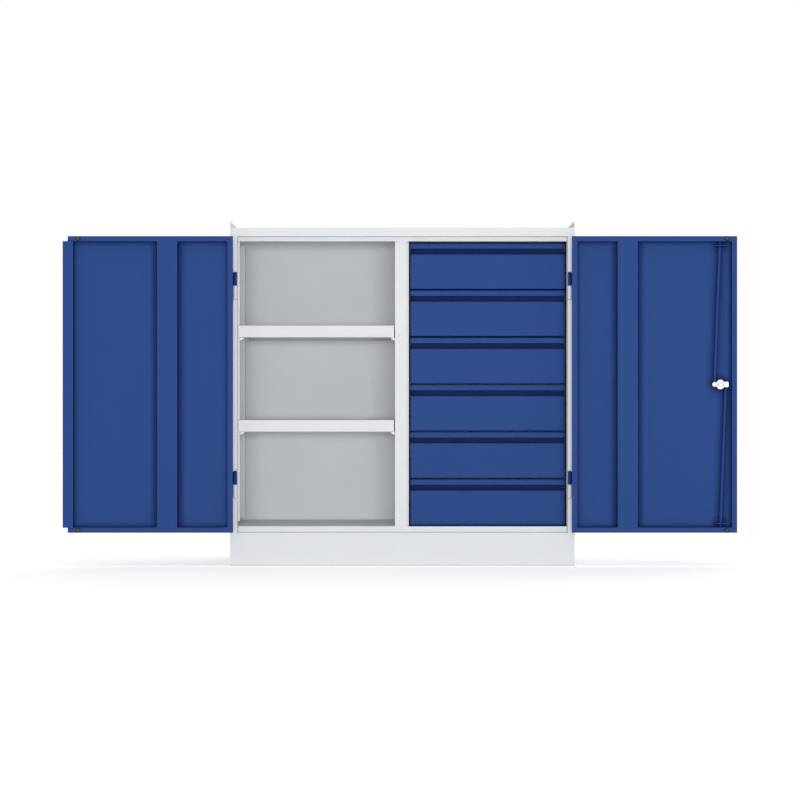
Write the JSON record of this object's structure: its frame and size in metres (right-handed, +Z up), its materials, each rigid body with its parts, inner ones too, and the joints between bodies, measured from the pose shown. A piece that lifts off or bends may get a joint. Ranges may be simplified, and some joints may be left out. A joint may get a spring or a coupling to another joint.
{
  "type": "tool cabinet with doors",
  "caption": "Low sheet-metal tool cabinet: hinged doors over shelves beside drawers on telescopic runners, with a tray top and a rod lock.",
  "frame": {"origin": "on the floor, at the centre of the carcass footprint, doors left out", "axes": "+X to the right seen from the front, +Y to the back, +Z up; the doors stand open by 180 degrees"},
  "size_m": [1.9505, 0.5348, 1],
  "materials": {
    "grey_paint": "satin powder coat",
    "blue_paint": "satin powder coat",
    "zinc_steel": "bright zinc",
    "white_plastic": "satin",
    "black_rubber": "matt",
    "black_plastic": "matt",
    "bright_chrome": "polished"
  },
  "bodies": {
    "cabinet": {"side_wall_left": "grey_paint", "side_wall_right": "grey_paint", "top_tray": "grey_paint", "plinth_frame": "grey_paint", "floor_panel": "grey_paint", "back_panel": "grey_paint", "centre_partition": "grey_paint", "shelf_uprights": "grey_paint", "shelf_lower": "grey_paint", "shelf_upper": "grey_paint", "shelf_clips": "zinc_steel", "drawer_carriers": "grey_paint", "cabinet_runners": "zinc_steel", "frame_hinge_barrels": "grey_paint", "hinge_pins": "zinc_steel"},
    "door_left": {"door_left_pan": "blue_paint", "door_left_stop_strip": "blue_paint", "door_left_stiffener": "blue_paint", "door_left_buffers": "black_rubber", "door_left_hinge_barrels": "blue_paint"},
    "door_right": {"door_right_pan": "blue_paint", "door_right_stiffener": "blue_paint", "door_right_buffers": "black_rubber", "door_right_hinge_barrels": "blue_paint", "lock_housing": "black_plastic", "lock_nut": "zinc_steel", "rod_guides": "blue_paint"},
    "lock_handle": {"door_handle": "black_plastic", "lock_spindle": "zinc_steel", "lock_cam": "white_plastic", "cam_screw": "zinc_steel"},
    "lock_plug": {"lock_plug": "bright_chrome"},
    "rod_upper": {"rod_upper": "blue_paint", "rod_upper_clip": "white_plastic"},
    "rod_lower": {"rod_lower": "blue_paint", "rod_lower_clip": "white_plastic"},
    "drawer_1": {"drawer_1_tray": "grey_paint", "drawer_1_front": "blue_paint", "drawer_1_runners": "zinc_steel"},
    "drawer_1_slide": {"drawer_1_intermediates": "zinc_steel"},
    "drawer_2": {"drawer_2_tray": "grey_paint", "drawer_2_front": "blue_paint", "drawer_2_runners": "zinc_steel"},
    "drawer_2_slide": {"drawer_2_intermediates": "zinc_steel"},
    "drawer_3": {"drawer_3_tray": "grey_paint", "drawer_3_front": "blue_paint", "drawer_3_runners": "zinc_steel"},
    "drawer_3_slide": {"drawer_3_intermediates": "zinc_steel"},
    "drawer_4": {"drawer_4_tray": "grey_paint", "drawer_4_front": "blue_paint", "drawer_4_runners": "zinc_steel"},
    "drawer_4_slide": {"drawer_4_intermediates": "zinc_steel"},
    "drawer_5": {"drawer_5_tray": "grey_paint", "drawer_5_front": "blue_paint", "drawer_5_runners": "zinc_steel"},
    "drawer_5_slide": {"drawer_5_intermediates": "zinc_steel"},
    "drawer_6": {"drawer_6_tray": "grey_paint", "drawer_6_front": "blue_paint", "drawer_6_runners": "zinc_steel"},
    "drawer_6_slide": {"drawer_6_intermediates": "zinc_steel"}
  },
  "joints": [
    {"name": "door_left_hinge", "type": "hinge", "parent": "cabinet", "child": "door_left", "pos_m": [-0.485, -0.256, 0.2355], "axis": [0, 0, -1], "range_deg": [-180, 0]},
    {"name": "door_right_hinge", "type": "hinge", "parent": "cabinet", "child": "door_right", "pos_m": [0.485, -0.256, 0.2355], "axis": [0, 0, 1], "range_deg": [-180, 0]},
    {"name": "handle_turn", "type": "hinge", "parent": "door_right", "child": "lock_handle", "pos_m": [0.92, -0.262, 0.526], "axis": [0, -1, 0], "range_deg": [-90, 0]},
    {"name": "key_turn", "type": "hinge", "parent": "lock_handle", "child": "lock_plug", "pos_m": [0.92, -0.2257, 0.526], "axis": [0, 1, 0], "range_deg": [0, 90]},
    {"name": "rod_upper_pivot", "type": "hinge", "parent": "lock_handle", "child": "rod_upper", "pos_m": [0.9035, -0.2763, 0.526], "axis": [0, -1, 0], "range_deg": [0, 92.26]},
    {"name": "rod_lower_pivot", "type": "hinge", "parent": "lock_handle", "child": "rod_lower", "pos_m": [0.9365, -0.2763, 0.526], "axis": [0, -1, 0], "range_deg": [0, 92.26]},
    {"name": "drawer_1_pull", "type": "slide", "parent": "cabinet", "child": "drawer_1", "axis": [0, -1, 0], "range_m": [0, 0.4]},
    {"name": "drawer_1_slide_run", "type": "slide", "parent": "cabinet", "child": "drawer_1_slide", "axis": [0, -1, 0], "range_m": [0, 0.2]},
    {"name": "drawer_2_pull", "type": "slide", "parent": "cabinet", "child": "drawer_2", "axis": [0, -1, 0], "range_m": [0, 0.4]},
    {"name": "drawer_2_slide_run", "type": "slide", "parent": "cabinet", "child": "drawer_2_slide", "axis": [0, -1, 0], "range_m": [0, 0.2]},
    {"name": "drawer_3_pull", "type": "slide", "parent": "cabinet", "child": "drawer_3", "axis": [0, -1, 0], "range_m": [0, 0.4]},
    {"name": "drawer_3_slide_run", "type": "slide", "parent": "cabinet", "child": "drawer_3_slide", "axis": [0, -1, 0], "range_m": [0, 0.2]},
    {"name": "drawer_4_pull", "type": "slide", "parent": "cabinet", "child": "drawer_4", "axis": [0, -1, 0], "range_m": [0, 0.4]},
    {"name": "drawer_4_slide_run", "type": "slide", "parent": "cabinet", "child": "drawer_4_slide", "axis": [0, -1, 0], "range_m": [0, 0.2]},
    {"name": "drawer_5_pull", "type": "slide", "parent": "cabinet", "child": "drawer_5", "axis": [0, -1, 0], "range_m": [0, 0.4]},
    {"name": "drawer_5_slide_run", "type": "slide", "parent": "cabinet", "child": "drawer_5_slide", "axis": [0, -1, 0], "range_m": [0, 0.2]},
    {"name": "drawer_6_pull", "type": "slide", "parent": "cabinet", "child": "drawer_6", "axis": [0, -1, 0], "range_m": [0, 0.4]},
    {"name": "drawer_6_slide_run", "type": "slide", "parent": "cabinet", "child": "drawer_6_slide", "axis": [0, -1, 0], "range_m": [0, 0.2]}
  ],
  "couplings": [
    {"joint": "rod_upper_pivot", "follows": "handle_turn", "ratio": -1.0246},
    {"joint": "rod_lower_pivot", "follows": "handle_turn", "ratio": -1.0246},
    {"joint": "drawer_1_slide_run", "follows": "drawer_1_pull", "ratio": 0.5},
    {"joint": "drawer_2_slide_run", "follows": "drawer_2_pull", "ratio": 0.5},
    {"joint": "drawer_3_slide_run", "follows": "drawer_3_pull", "ratio": 0.5},
    {"joint": "drawer_4_slide_run", "follows": "drawer_4_pull", "ratio": 0.5},
    {"joint": "drawer_5_slide_run", "follows": "drawer_5_pull", "ratio": 0.5},
    {"joint": "drawer_6_slide_run", "follows": "drawer_6_pull", "ratio": 0.5}
  ]
}
